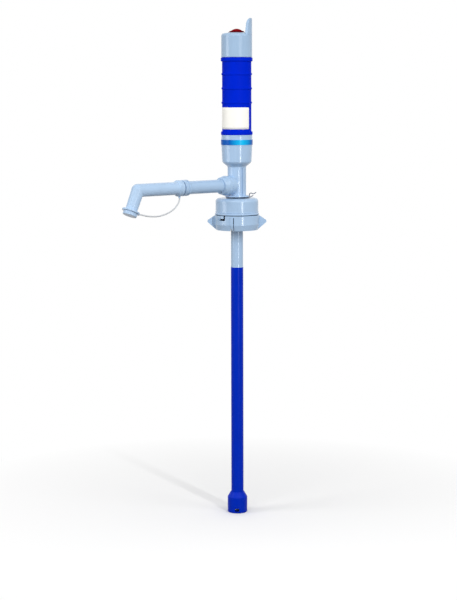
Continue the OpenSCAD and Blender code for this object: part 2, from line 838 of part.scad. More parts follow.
module outlet_nut() {
    color(light_blue) along_outlet() rotate_extrude() polygon([
        [thread_r + fit, boss_reach], [nut_r - nut_edge, boss_reach], [nut_r, boss_reach + nut_edge],
        [nut_r, nut_taper_at], [nut_r - nut_ledge, nut_taper_at + nut_ledge],
        [nut_end_r, nut_end - nut_edge], [nut_end_r - 1.4 * nut_edge, nut_end], [pipe_r + fit, nut_end],
        [pipe_r + fit, nut_step], [thread_r + fit, nut_step]
    ]);
}

module outlet_pipe() {
    groove_at = pipe_reach - collar_l * 0.55;
    color(light_blue) along_outlet() rotate_extrude() polygon([
        [pipe_bore_r, pipe_start], [pipe_flange_r, pipe_start],
        [pipe_flange_r, pipe_start + pipe_flange_t], [pipe_r, pipe_start + pipe_flange_t],
        [pipe_r, pipe_reach - collar_l - collar_taper], [collar_r, pipe_reach - collar_l],
        [collar_r, groove_at - collar_groove_w], [collar_r - collar_groove, groove_at - collar_groove_w],
        [collar_r - collar_groove, groove_at], [collar_r, groove_at],
        [collar_r, pipe_reach - edge], [collar_r - edge, pipe_reach], [pipe_bore_r, pipe_reach]
    ]);
}

module lower_stem() {
    color(light_blue) difference() {
        union() {
            rod(gallery_r - fit, spigot_z - 1, spigot_z + stem_neck_h);
            rod(stem_flange_r, spigot_z - stem_flange_t, spigot_z);
            rod(stem_r, -stem_l, spigot_z - 1);
            rod(dip_bore_r - fit, -stem_l - joint_l, -stem_l + 1);
        }
        rod(stem_bore_r, -stem_l, spigot_z + stem_neck_h + 1);
        rod(dip_bore_r - fit - joint_wall, -stem_l - joint_l - 1, -stem_l + 1);
    }
}

module dip_tube() {
    color(royal_blue) tube(dip_r, dip_bore_r, dip_end_z, -stem_l);
}

// A spoked bush that steadies the drive shaft in the tube
module bush(z) {
    rim_r = dip_bore_r - fit;
    translate([0, 0, z]) {
        tube(rim_r, rim_r - bush_rim_t, 0, bush_h);
        tube(bush_hub_r, shaft_r + run_gap, 0, bush_h);
        around(3) translate([bush_hub_r - 0.4, -bush_spoke_w / 2, 0.8])
            cube([rim_r - bush_rim_t - bush_hub_r + 0.8, bush_spoke_w, bush_h - 1.6]);
    }
}
module shaft_bushes() {
    color([0.92, 0.92, 0.9]) for (i = [0 : bush_count - 1])
        bush(bush_top_z + (bush_foot_z - bush_top_z) * i / (bush_count - 1));
}

module impeller_housing() {
    color(royal_blue) difference() {
        rotate_extrude() polygon([
            [dip_bore_r, chamber_top_z], [dip_bore_r, dip_end_z], [dip_r + fit, dip_end_z],
            [dip_r + fit, foot_top_z], [foot_top_r, foot_top_z], [foot_r, foot_shoulder_z],
            [foot_r, foot_z + 0.8], [foot_r - 0.8, foot_z], [foot_bore_r, foot_z],
            [foot_bore_r, chamber_top_z - (foot_bore_r - dip_bore_r) * 0.6]
        ]);
        around(intake_count, 45) translate([foot_bore_r - 1, -intake_w / 2, foot_z + strainer_t])
            cube([foot_wall + 2, intake_w, intake_h]);
    }
}

module intake_strainer() {
    color(royal_blue) difference() {
        rod(strainer_r, foot_z, foot_z + strainer_t);
        rod(shaft_r + run_gap, foot_z - 1, foot_z + strainer_t + 1);
        around(strainer_holes) translate([strainer_hole_at, 0, 0])
            rod(strainer_hole_r, foot_z - 1, foot_z + strainer_t + 1);
    }
}

// The tongue's outline, seen square on: sides that lean in, round corners and a crowned top
module tongue_outline() {
    foot_half = top_r * sin(tongue_half);
    top_half = top_r * sin(tongue_top_half);
    corner_x = top_half + (foot_half - top_half) * tongue_corner_r / (tongue_h + roof_t);
    crown_x = corner_x - tongue_corner_r;
    corner_z = tongue_top_z - tongue_crown_r + sqrt(tongue_crown_r * tongue_crown_r - crown_x * crown_x);
    difference() {
        intersection() {
            polygon([
                [-foot_half, roof_under_z], [foot_half, roof_under_z], [top_half, tongue_top_z],
                [-top_half, tongue_top_z]
            ]);
            translate([0, tongue_top_z - tongue_crown_r]) circle(r = tongue_crown_r, $fn = 128);
        }
        for (s = [0, 1]) mirror([s, 0]) corner_waste(corner_x, corner_z, tongue_corner_r);
    }
}

module top_housing() {
    color(light_blue) difference() {
        union() {
            rotate_extrude() {
                difference() {
                    polygon([
                        [0, top_z], [top_r - edge, top_z], [top_r, top_z + edge],
                        [top_r, roof_z - roof_drop], [0, roof_z - roof_drop]
                    ]);
                    corner_waste(top_r, roof_z - roof_drop, roof_round);
                }
                polygon([
                    [0, roof_under_z], [roof_flat_r, roof_under_z],
                    [top_r - roof_round - 0.3, roof_z - roof_drop], [roof_flat_r, roof_z], [0, roof_z]
                ]);
            }
            intersection() {
                rotate_extrude() difference() {
                    translate([top_r - tongue_t, roof_under_z])
                        square([tongue_t, tongue_top_z - roof_under_z]);
                    corner_waste(top_r, tongue_top_z, tongue_edge_r);
                }
                rotate([0, 0, tongue_dir + 90]) rotate([90, 0, 0])
                    linear_extrude(top_r + 1) tongue_outline();
            }
        }
        difference() {
            rod(top_in_r, top_z - 1, roof_under_z);
            around(carrier_posts) translate([carrier_post_at, 0, 0])
                rod(carrier_post_r, carrier_top_z, roof_under_z + 1);
        }
        around(carrier_posts) translate([carrier_post_at, 0, 0])
            rod(pilot_r, carrier_top_z - 1, carrier_top_z + screw_l);
        rod(button_hole_r, roof_under_z - 1, roof_z + 1);
    }
}

module button_boot() {
    color(rubber_black) rotate_extrude() polygon([
        [button_hole_r, roof_z], [boot_r, roof_z], [boot_r - 0.3, roof_z + 0.4],
        [boot_top_r, roof_z + boot_h], [button_hole_r, roof_z + boot_h]
    ]);
}

module switch_carrier() {
    color([0.2, 0.2, 0.22]) difference() {
        rod(carrier_r, carrier_z, carrier_top_z);
        around(carrier_posts) translate([carrier_post_at, 0, 0])
            rod(pilot_r + 0.2, carrier_z - 1, carrier_top_z + 1);
    }
}

module carrier_screws() {
    color(steel) around(carrier_posts) translate([carrier_post_at, 0, carrier_z])
        mirror([0, 0, 1]) screw(0, screw_l, 1.8, contact_t - contact_gap);
}

module switch_body() {
    color(rubber_black) difference() {
        translate([-switch_l / 2, -switch_w / 2, carrier_top_z]) cube([switch_l, switch_w, switch_h]);
        rod(plunger_r + play, plunger_foot_z - plunger_well, switch_top_z + 1);
    }
}

module top_contact() {
    color(brass) rod(contact_r, cell_top_z + contact_gap, carrier_z);
}

module power_button() {
    crown_sphere_r = (button_r * button_r + button_crown * button_crown) / (2 * button_crown);
    color(signal_red) {
        rod(plunger_r, plunger_foot_z, button_flange_z + 1);
        rod(button_flange_r, button_flange_z, button_flange_z + button_flange_t);
        rotate_extrude() intersection() {
            translate([0, button_flange_z + 0.5])
                square([button_r, button_top_z - button_flange_z - 0.5]);
            translate([0, button_top_z - crown_sphere_r]) circle(r = crown_sphere_r, $fn = 128);
        }
    }
}

module button_spring() {
    wire_r = 0.4;
    steps = 12;
    points = coil_points(5, 5, switch_top_z + wire_r, button_flange_z - wire_r, 3, steps);
    echo("button_spring least gap to itself in mm", coil_gap(points, wire_r, steps));
    color(steel) swept_tube(points, wire_r, 6);
}

module motor_shaft() {
    color(steel) rod(motor_shaft_r, coupling_z + coupling_l / 2 + 0.5, motor_top_z - 5);
}

module shaft_coupling() {
    color([0.92, 0.92, 0.9]) difference() {
        rod(coupling_r, coupling_z, coupling_top_z);
        rod(motor_shaft_r + run_gap, coupling_z + coupling_l / 2 + 0.5, coupling_top_z + 1);
        rod(shaft_r + run_gap, coupling_z - 1, shaft_top_z);
    }
}

module drive_shaft() {
    color(steel) rod(shaft_r, shaft_foot_z, shaft_top_z);
}

module impeller() {
    color([0.92, 0.92, 0.9]) difference() {
        union() {
            rod(impeller_hub_r, impeller_z, impeller_z + impeller_h);
            intersection() {
                rod(impeller_r, impeller_z + 0.5, impeller_z + impeller_h - 0.5);
                around(blade_count) translate([impeller_hub_r - 0.8, 0, impeller_z + impeller_h / 2])
                    rotate([blade_pitch, 0, 0]) translate([0, -blade_t / 2, -impeller_h])
                        cube([impeller_r, blade_t, 2 * impeller_h]);
            }
        }
        rod(shaft_r + run_gap, impeller_z - 1, impeller_z + impeller_h + 1);
    }
}

module spout() {
    groove_r = o_ring_mid_r - o_ring_r;
    stub_at = spout_start + spout_collar_l * 0.35;
    color(light_blue) difference() {
        union() {
            along_outlet() rotate_extrude() polygon([
                [0, tail_start], [tail_r, tail_start], [tail_r, o_ring_at - 1.1 * o_ring_r],
                [groove_r, o_ring_at - 1.1 * o_ring_r], [groove_r, o_ring_at + 1.1 * o_ring_r],
                [tail_r, o_ring_at + 1.1 * o_ring_r], [tail_r, spout_start],
                [collar_r - edge, spout_start], [collar_r, spout_start + edge],
                [collar_r, spout_start + spout_collar_l], [arm_r, arm_start], [arm_r, bend_reach],
                [0, bend_reach]
            ]);
            along_leg() {
                sphere(r = arm_r + elbow_step);
                taper(leg_end_r, leg_top_r, -leg_l, 0);
            }
            translate([-stub_at, 0, 0])
                rod(stub_r, outlet_z - collar_r - stub_l, outlet_z - collar_r + stub_sink);
        }
        along_outlet() {
            rod(tail_bore_r, tail_start - 1, spout_start + 1.5 * bore_lap);
            rod(arm_bore_r, spout_start + bore_lap, bend_reach);
        }
        along_leg() {
            sphere(r = arm_bore_r + elbow_step);
            taper(leg_bore_r, leg_top_r - spout_wall, -leg_l - 0.01, 0);
        }
    }
}

module spout_o_ring() {
    color(rubber_black) along_outlet() translate([0, 0, o_ring_at]) rotate_extrude()
        translate([o_ring_mid_r, 0]) circle(r = o_ring_r);
}

// Where the tether leaves the spout's collar and where it meets the cap's rim
tether_start = [-(spout_start + spout_collar_l * 0.35), 0, outlet_z - collar_r - stub_l];
stub_dir = leg_vector([cos(cap_stub_rise), sin(cap_stub_rise)]);
tether_end = [-bend_reach, 0, outlet_z]
    + leg_vector([cap_rim_r - stub_sink, cap_rim_z]) + (stub_l + stub_sink) * stub_dir;
function leg_vector(v) = [
    v[0] * cos(leg_lean) + v[1] * sin(leg_lean), 0, v[1] * cos(leg_lean) - v[0] * sin(leg_lean)
];

module cap_tether() {
    color(soft_grey) swept_tube(concat(
        [tether_start, tether_start - [0, 0, 1]],
        [for (p = tether_route) [-p[0], 0, outlet_z - p[1]]],
        [tether_end + 1 * stub_dir, tether_end]
    ), tether_d / 2, 8);
}

module spout_cap() {
    color(light_blue) along_leg() {
        rotate_extrude() polygon([
            [0, cap_foot_z], [cap_r - edge, cap_foot_z], [cap_r, cap_foot_z + edge],
            [cap_r, cap_top_end_z - cap_rim_t], [cap_rim_r - edge / 2, cap_top_end_z - cap_rim_t],
            [cap_rim_r, cap_top_end_z - cap_rim_t + edge / 2], [cap_rim_r, cap_top_end_z - edge / 2],
            [cap_rim_r - edge / 2, cap_top_end_z], [cap_bore_r, cap_top_end_z],
            [cap_bore_r, cap_foot_z + cap_floor_t], [0, cap_foot_z + cap_floor_t]
        ]);
        translate([cap_rim_r - stub_sink, 0, cap_rim_z]) rotate([0, 90 - cap_stub_rise, 0])
            cylinder(r = stub_r, h = stub_l + stub_sink);
    }
}

neck_cap();
neck_gasket();
neck_sleeve();
clamp_ring();
pump_body();
trim_band();
battery_tube();
grip_sleeve();
lower_battery();
upper_battery();
battery_spring();
contact_strip();
motor_retainer();
retainer_screws();
motor_can();
shaft_seal();
column_clip();
outlet_gasket();
outlet_nut();
outlet_pipe();
lower_stem();
dip_tube();
shaft_bushes();
impeller_housing();
intake_strainer();
top_housing();
button_boot();
switch_carrier();
carrier_screws();
switch_body();
top_contact();
power_button();
button_spring();
motor_shaft();
shaft_coupling();
drive_shaft();
impeller();
spout();
spout_o_ring();
cap_tether();
spout_cap();
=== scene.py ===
"""Looks of the battery pump: finishes, tether, sticker, clip, spring, light and camera round the frame."""

import math

import bpy
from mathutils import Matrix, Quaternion, Vector


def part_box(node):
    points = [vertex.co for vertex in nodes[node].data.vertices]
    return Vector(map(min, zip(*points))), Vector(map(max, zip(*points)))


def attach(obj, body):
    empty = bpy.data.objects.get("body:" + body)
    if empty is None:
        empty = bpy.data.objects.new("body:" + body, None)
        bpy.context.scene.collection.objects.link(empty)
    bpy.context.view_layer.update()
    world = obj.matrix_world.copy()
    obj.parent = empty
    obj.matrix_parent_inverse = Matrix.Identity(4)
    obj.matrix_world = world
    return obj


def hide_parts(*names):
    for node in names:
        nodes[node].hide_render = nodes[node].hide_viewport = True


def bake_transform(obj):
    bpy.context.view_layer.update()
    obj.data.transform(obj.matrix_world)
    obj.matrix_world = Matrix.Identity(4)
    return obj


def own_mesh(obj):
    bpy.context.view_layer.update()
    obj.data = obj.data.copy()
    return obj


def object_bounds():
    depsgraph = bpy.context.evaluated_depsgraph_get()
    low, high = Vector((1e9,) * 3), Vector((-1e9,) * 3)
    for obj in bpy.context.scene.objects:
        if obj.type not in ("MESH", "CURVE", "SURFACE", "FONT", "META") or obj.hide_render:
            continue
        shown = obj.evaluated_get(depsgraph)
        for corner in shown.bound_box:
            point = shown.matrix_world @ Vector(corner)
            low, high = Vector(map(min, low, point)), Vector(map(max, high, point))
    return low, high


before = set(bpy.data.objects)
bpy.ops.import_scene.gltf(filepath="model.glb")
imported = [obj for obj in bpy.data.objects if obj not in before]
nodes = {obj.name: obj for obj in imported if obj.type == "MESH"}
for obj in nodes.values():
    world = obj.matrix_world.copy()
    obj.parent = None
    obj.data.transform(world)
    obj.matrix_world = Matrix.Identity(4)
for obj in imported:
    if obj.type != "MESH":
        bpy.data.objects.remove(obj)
cad_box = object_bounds()
MM = 0.001


def linear(r, g, b):
    """A colour written as 0 to 255 sRGB, in linear light."""
    def channel(v):
        v /= 255
        return v / 12.92 if v <= 0.04045 else ((v + 0.055) / 1.055) ** 2.4
    return (channel(r), channel(g), channel(b), 1)


def lighter(colour, share):
    """The same hue, brighter by a share or darker for a negative one."""
    return (*[min(1, c * (1 + share)) for c in colour[:3]], 1)


def grey(level):
    return (level, level, level, 1)


def polar(r, angle_deg, z):
    """A point by its distance from the pump's axis, its angle round it and its height."""
    a = math.radians(angle_deg)
    return Vector((r * math.cos(a), r * math.sin(a), z))


# Shader nodes

# Places of a Mix node's colour sockets, which share their names with its other sockets
MIX_A, MIX_B, MIX_RESULT = 6, 7, 2


def noise(tree, place, per_metre, detail=3):
    """Noise with so many cells in a metre."""
    node = tree.nodes.new("ShaderNodeTexNoise")
    node.inputs["Scale"].default_value = per_metre
    node.inputs["Detail"].default_value = detail
    tree.links.new(place, node.inputs["Vector"])
    return node.outputs["Fac"]


def spread(tree, value, low, high, start=0.3, end=0.7):
    """The value's range from start to end spread over low to high."""
    node = tree.nodes.new("ShaderNodeMapRange")
    node.inputs["From Min"].default_value = start
    node.inputs["From Max"].default_value = end
    node.inputs["To Min"].default_value = low
    node.inputs["To Max"].default_value = high
    tree.links.new(value, node.inputs["Value"])
    return node.outputs["Result"]


def mixed(tree, share, a, b):
    """Two colours mixed by a share. Each colour is a value or another node's output."""
    node = tree.nodes.new("ShaderNodeMix")
    node.data_type = "RGBA"
    tree.links.new(share, node.inputs["Factor"])
    for socket, colour in ((node.inputs[MIX_A], a), (node.inputs[MIX_B], b)):
        if isinstance(colour, tuple):
            socket.default_value = colour
        else:
            tree.links.new(colour, socket)
    return node.outputs[MIX_RESULT]


def maths(tree, operation, *values):
    """One step of arithmetic on other nodes' outputs."""
    node = tree.nodes.new("ShaderNodeMath")
    node.operation = operation
    for value, socket in zip(values, node.inputs):
        tree.links.new(value, socket)
    return node.outputs["Value"]


def mapped(tree, place, setting, value):
    """Coordinates that are turned or scaled."""
    node = tree.nodes.new("ShaderNodeMapping")
    node.inputs[setting].default_value = value
    tree.links.new(place, node.inputs["Vector"])
    return node.outputs["Vector"]


def axes(tree, place):
    """The X, Y and Z of coordinates."""
    node = tree.nodes.new("ShaderNodeSeparateXYZ")
    tree.links.new(place, node.inputs["Vector"])
    return node.outputs


# Materials

def new_material(name):
    """A material with its node tree, its Principled shader and the surface's own coordinates."""
    material = bpy.data.materials.new(name)
    material.use_nodes = True
    tree = material.node_tree
    shader = tree.nodes["Principled BSDF"]
    place = tree.nodes.new("ShaderNodeTexCoord").outputs["Object"]
    return material, tree, shader, place


def paint(tree, shader, share, a, b):
    """The shader's colour, mixed from two by a share."""
    tree.links.new(mixed(tree, share, a, b), shader.inputs["Base Color"])


def gloss(tree, shader, pattern, low, high):
    """The shader's roughness, which follows a pattern from low to high."""
    tree.links.new(spread(tree, pattern, low, high), shader.inputs["Roughness"])


def bump(tree, shader, height, strength, depth):
    """Relief on the shader, so many millimetres deep."""
    node = tree.nodes.new("ShaderNodeBump")
    node.inputs["Strength"].default_value = strength
    node.inputs["Distance"].default_value = depth * MM
    tree.links.new(height, node.inputs["Height"])
    tree.links.new(node.outputs["Normal"], shader.inputs["Normal"])


def moulded(name, colour, roughness, mottle=0.05, specular=0.5, grain=2600, grain_depth=0.02):
    """Moulded plastic: a slight mottle, scuffs in the gloss and a fine moulding grain."""
    material, tree, shader, place = new_material(name)
    cloud = spread(tree, noise(tree, place, per_metre=45), 0, 1)
    paint(tree, shader, cloud, lighter(colour, -mottle), lighter(colour, mottle / 2))
    gloss(tree, shader, noise(tree, place, per_metre=320, detail=5), *roughness)
    bump(tree, shader, noise(tree, place, grain, detail=2), strength=0.25, depth=grain_depth)
    shader.inputs["Specular IOR Level"].default_value = specular
    return material


def metal(name, colour, roughness=(0.22, 0.4), marks_per_metre=(60, 60, 4000)):
    """Drawn or turned metal, with fine marks across one direction."""
    material, tree, shader, place = new_material(name)
    marks = noise(tree, mapped(tree, place, "Scale", marks_per_metre), per_metre=1, detail=2)
    paint(tree, shader, spread(tree, marks, 0, 1), lighter(colour, -0.12), lighter(colour, 0.06))
    gloss(tree, shader, marks, *roughness)
    bump(tree, shader, marks, strength=0.15, depth=0.01)
    shader.inputs["Metallic"].default_value = 1
    return material


def rubber(name, colour):
    """Matt rubber with a fine grain."""
    material, tree, shader, place = new_material(name)
    cloud = noise(tree, place, per_metre=120)
    paint(tree, shader, spread(tree, cloud, 0, 1), lighter(colour, -0.2), lighter(colour, 0.04))
    gloss(tree, shader, cloud, 0.55, 0.75)
    bump(tree, shader, noise(tree, place, per_metre=5000, detail=2), strength=0.3, depth=0.03)
    shader.inputs["Specular IOR Level"].default_value = 0.01
    return material


def turn_share(tree, place, middle_deg):
    """How far round the axis a point is from one direction, as 0 there to 1 on the far side."""
    turned = axes(tree, mapped(tree, place, "Rotation", (0, 0, math.radians(-middle_deg))))
    angle = maths(tree, "ARCTAN2", turned["Y"], turned["X"])
    return spread(tree, maths(tree, "ABSOLUTE", angle), 0, 1, 0, math.pi)


def band_film_painted_highlight(name, bright, deep, middle_deg, fade=(0.02, 0.26)):
    """Printed blue film that fades from a bright colour at one side of the band to a deep one round it; the
    fade is partly a painted highlight, brightest on the side that faces the camera and the key lamp.
    """
    material, tree, shader, place = new_material(name)
    share = turn_share(tree, place, middle_deg)
    paint(tree, shader, spread(tree, share, 0, 1, *fade), bright, deep)
    gloss(tree, shader, noise(tree, place, per_metre=300), 0.16, 0.26)
    bump(tree, shader, noise(tree, place, per_metre=900, detail=2), strength=0.1, depth=0.02)
    shader.inputs["Specular IOR Level"].default_value = 0.08
    return material


def paper(name, colour):
    """Coated paper with a faint fibre."""
    material, tree, shader, place = new_material(name)
    fibre = noise(tree, place, per_metre=1800, detail=6)
    paint(tree, shader, spread(tree, fibre, 0, 1), lighter(colour, -0.03), colour)
    gloss(tree, shader, fibre, 0.4, 0.55)
    bump(tree, shader, fibre, strength=0.12, depth=0.02)
    return material


light_plastic = moulded("light_plastic_moulded", linear(168, 196, 226), roughness=(0.14, 0.2),
                        mottle=0.03, specular=0.4, grain_depth=0.002)
# A darker copy of the light plastic, as painted shade: the top housing is the same plastic, darkened
# because the lamps light it more than the rest.
cap_plastic_painted_shade = moulded("light_plastic_cap_painted_shade", linear(160, 188, 217), roughness=(0.14, 0.2),
                      mottle=0.03, specular=0.4, grain_depth=0.002)
# A lighter copy of the light plastic, as painted light: the spout is the same plastic as the pipe,
# brightened as if lit more.
spout_plastic_painted_light = moulded("light_plastic_spout_painted_light", linear(177, 203, 231), roughness=(0.2, 0.26),
                        mottle=0.03, specular=0.2, grain_depth=0.002)
grip_plastic = moulded("blue_plastic_grip", linear(0, 38, 208), roughness=(0.42, 0.55),
                       specular=0.015, grain=1500, grain_depth=0.05)
tube_plastic = moulded("blue_plastic_tube", linear(0, 44, 188), roughness=(0.22, 0.3),
                       specular=0.06, grain_depth=0.004)
red_plastic = moulded("red_plastic_button", linear(142, 2, 10), roughness=(0.4, 0.5),
                      specular=0.01, grain_depth=0.004)
dark_plastic = moulded("dark_plastic_inner", linear(46, 47, 52), roughness=(0.4, 0.55), mottle=0.1)
white_plastic = moulded("white_plastic_inner", linear(228, 228, 222), roughness=(0.35, 0.5), mottle=0.04)
tether_plastic = moulded("tether_plastic_cord", linear(200, 203, 207), roughness=(0.35, 0.45), grain=1800)
battery_case = metal("battery_case_steel", linear(168, 170, 174), roughness=(0.25, 0.4))
steel = metal("steel_drawn", linear(196, 198, 204))
# Darker, blue-tinted steel for the clip: painted shade from the groove under the flange and a painted
# reflection of the blue plastic round it.
clip_wire_painted_shade_and_reflection = metal("clip_wire_steel_painted_shade_and_reflection", linear(92, 100, 116), roughness=(0.3, 0.45))
brass = metal("brass_sheet", linear(206, 176, 104), roughness=(0.25, 0.4))
black_rubber = rubber("black_rubber_moulded", linear(16, 16, 19))
boot_rubber = rubber("dark_red_rubber_boot", linear(96, 4, 16))
# The bright side, at 246 degrees, faces the camera and the key lamp: a painted highlight on the printed
# film.
trim_film = band_film_painted_highlight("trim_band_film_painted_highlight", bright=linear(24, 190, 245), deep=linear(0, 92, 186),
                      middle_deg=246)
label_paper = paper("label_paper", linear(255, 253, 246))

FINISH = {
    light_plastic: ["neck_cap", "clamp_ring", "pump_body", "battery_tube", "outlet_nut", "outlet_pipe",
                    "lower_stem"],
    cap_plastic_painted_shade: ["top_housing"],
    spout_plastic_painted_light: ["spout", "spout_cap"],
    grip_plastic: ["grip_sleeve"],
    tube_plastic: ["dip_tube", "impeller_housing", "intake_strainer"],
    red_plastic: ["power_button"],
    dark_plastic: ["motor_retainer", "switch_carrier", "switch_body"],
    white_plastic: ["shaft_bushes", "shaft_coupling", "impeller"],
    tether_plastic: ["cap_tether"],
    battery_case: ["lower_battery", "upper_battery"],
    steel: ["battery_spring", "retainer_screws", "motor_can", "carrier_screws", "button_spring",
            "motor_shaft", "drive_shaft"],
    clip_wire_painted_shade_and_reflection: ["column_clip"],
    brass: ["contact_strip", "top_contact"],
    black_rubber: ["neck_gasket", "neck_sleeve", "shaft_seal", "outlet_gasket", "spout_o_ring"],
    boot_rubber: ["button_boot"],
    trim_film: ["trim_band"],
}
for finish, names in FINISH.items():
    for name in names:
        nodes[name].data.materials.clear()
        nodes[name].data.materials.append(finish)


# Meshes

def new_piece(name, verts, faces, material, smooth=True):
    mesh = bpy.data.meshes.new(name)
    mesh.from_pydata([tuple(v) for v in verts], [], faces)
    mesh.update()
    if smooth:
        mesh.polygons.foreach_set("use_smooth", [True] * len(mesh.polygons))
    piece = bpy.data.objects.new(name, mesh)
    bpy.context.scene.collection.objects.link(piece)
    mesh.materials.append(material)
    return piece


def smooth_route(points, steps):
    """Points on one smooth curve through the given ones, with so many steps between each two."""
    ends = [points[0] * 2 - points[1], *points, points[-1] * 2 - points[-2]]
    route = []
    for i in range(1, len(ends) - 2):
        a, b, c, d = ends[i - 1:i + 3]
        for k in range(steps):
            t = k / steps
            route.append((b * 2 + (c - a) * t + (a * 2 - b * 5 + c * 4 - d) * t * t
                          + (b * 3 - a - c * 3 + d) * t ** 3) / 2)
    return route + [points[-1]]


def swept(name, route, radius, sides, material):
    """A closed round tube along a route."""
    verts, faces = [], []
    side = None
    for i, p in enumerate(route):
        along = (route[min(i + 1, len(route) - 1)] - route[max(i - 1, 0)]).normalized()
        side = along.cross(Vector((0, 1, 0))).normalized() if side is None else (
            side - along * side.dot(along)).normalized()
        other = along.cross(side)
        for k in range(sides):
            a = 2 * math.pi * k / sides
            verts.append(p + (side * math.cos(a) + other * math.sin(a)) * radius)
    for i in range(len(route) - 1):
        for k in range(sides):
            n = (k + 1) % sides
            faces.append((i * sides + k, i * sides + n, (i + 1) * sides + n, (i + 1) * sides + k))
    last = (len(route) - 1) * sides
    faces.append(tuple(range(sides - 1, -1, -1)))
    faces.append(tuple(last + k for k in range(sides)))
    return new_piece(name, verts, faces, material)


# The cap's tether, from the stub on the spout's collar to the stub on the cap's rim, in millimetres.
# Its middle is given as distance from the pump's axis and height.
TETHER_D = 2
TETHER_START = Vector((-105.7, 0, 9.6))
TETHER_MIDDLE = [
    (106, 6.5), (107.2, 3.5), (109.6, 0.5), (113, -2.8), (117.5, -6), (123, -8.6),
    (129.5, -10.8), (136.5, -12.4), (143.5, -13.2), (150.5, -13.2), (157.5, -12.6), (164.5, -11.5),
]
TETHER_STEPS, TETHER_SIDES = 6, 16
LEG_CORNER = Vector((-178, 0, 23))
LEG_LEAN = math.radians(24)
LEG_L = 34
CAP_DEPTH, CAP_RIM_R, CAP_RIM_T = 5.5, 12.2, 2.2
STUB_L, STUB_SINK = 2.4, 0.8
STUB_RISE = math.radians(17.5)


def leg_vector(out, along):
    """A direction in the spout's leg: out from its axis on the pump's side, and along it upwards."""
    return Vector((out * math.cos(LEG_LEAN) + along * math.sin(LEG_LEAN), 0,
                   along * math.cos(LEG_LEAN) - out * math.sin(LEG_LEAN)))


def make_tether():
    stub_dir = leg_vector(math.cos(STUB_RISE), math.sin(STUB_RISE))
    stub_foot = LEG_CORNER + leg_vector(CAP_RIM_R - STUB_SINK, CAP_DEPTH - LEG_L - CAP_RIM_T / 2)
    end = stub_foot + (STUB_L + STUB_SINK) * stub_dir
    points = [TETHER_START, TETHER_START - Vector((0, 0, 1))]
    points += [Vector((-out, 0, z)) for out, z in TETHER_MIDDLE]
    points += [end + stub_dir, end]
    route = smooth_route([p * MM for p in points], TETHER_STEPS)
    tether = swept("tether", route, TETHER_D / 2 * MM, TETHER_SIDES, tether_plastic)
    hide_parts("cap_tether")
    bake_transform(tether)


# The blank sticker on the grip: its ends in degrees round the axis, the rest in millimetres
LABEL_FROM, LABEL_TO = 128, 283
LABEL_LOW, LABEL_HIGH = 101, 131.2
LABEL_R, LABEL_THICK, LABEL_CORNER = 20.43, 0.14, 1.6
LABEL_COLUMNS, LABEL_ROWS = 72, 8


def make_label():
    """A thin curved sheet with rounded corners, closed all round."""
    columns, rows = LABEL_COLUMNS, LABEL_ROWS
    turn = LABEL_TO - LABEL_FROM
    span = math.radians(turn) * LABEL_R
    verts, faces = [], []
    for i in range(columns + 1):
        u = i / columns
        edge = min(u, 1 - u) * span
        cut = 0
        if edge < LABEL_CORNER:
            cut = LABEL_CORNER - math.sqrt(max(0, LABEL_CORNER ** 2 - (LABEL_CORNER - edge) ** 2))
        low, high = LABEL_LOW + cut, LABEL_HIGH - cut
        for r in (LABEL_R, LABEL_R + LABEL_THICK):
            for k in range(rows + 1):
                verts.append(polar(r, LABEL_FROM + turn * u, low + (high - low) * k / rows) * MM)
    ring = 2 * (rows + 1)
    for i in range(columns):
        a, b = i * ring, (i + 1) * ring
        for k in range(rows):
            outer = rows + 1 + k
            faces.append((a + outer, b + outer, b + outer + 1, a + outer + 1))
            faces.append((a + k, a + k + 1, b + k + 1, b + k))
        faces.append((a, b, b + rows + 1, a + rows + 1))
        faces.append((a + rows, a + 2 * rows + 1, b + 2 * rows + 1, b + rows))
    for a, order in ((0, 1), (columns * ring, -1)):
        for k in range(rows):
            quad = (a + k, a + rows + 1 + k, a + rows + 2 + k, a + k + 1)
            faces.append(quad[::order])
    label = new_piece("grip_label", verts, faces, label_paper)
    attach(label, "head")


# The wire clip under the column's flange: a loop with a waved end above and a short one below.
# Each point of an end is a turn from the clip's direction, a distance from the axis and a rise over
# the loop.
CLIP_DIR, CLIP_WIRE_R, CLIP_LOOP_R = -42, 0.6, 15.2
CLIP_OPEN, CLIP_LOOP_STEP = 24, 12
CLIP_STEPS, CLIP_SIDES = 4, 12
CLIP_UPPER_END = [
    (8.6, 27.4, 6.4), (9, 26, 5.6), (9.5, 24.4, 4.6), (10, 22.8, 4.4), (10.5, 21.2, 5.2),
    (11, 19.6, 5.4), (12, 18.3, 4.4), (13.5, 18.1, 2.6), (15, 18, 0.9), (17, 17.4, 0), (20, 15.9, 0),
]
CLIP_LOWER_END = [
    (-20, 15.9, 0), (-17, 17.6, 0.1), (-15, 19.6, 0.7), (-13.5, 21.6, 1.7), (-12.5, 23.4, 2.8),
]


def make_clip():
    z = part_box("column_clip")[0].z / MM + CLIP_WIRE_R
    loop = [(turn, CLIP_LOOP_R, 0) for turn in range(CLIP_OPEN, 361 - CLIP_OPEN, CLIP_LOOP_STEP)]
    points = CLIP_UPPER_END + loop + CLIP_LOWER_END
    route = smooth_route([polar(r, CLIP_DIR + turn, z + rise) * MM for turn, r, rise in points], CLIP_STEPS)
    clip = swept("wire_clip", route, CLIP_WIRE_R * MM, CLIP_SIDES, clip_wire_painted_shade_and_reflection)
    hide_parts("column_clip")
    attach(clip, "head")


# The spring under the button, which shortens as the button goes down
SPRING_R, SPRING_WIRE_R, SPRING_TURNS = 5, 0.4, 3
SPRING_STEPS, SPRING_SIDES = 24, 10


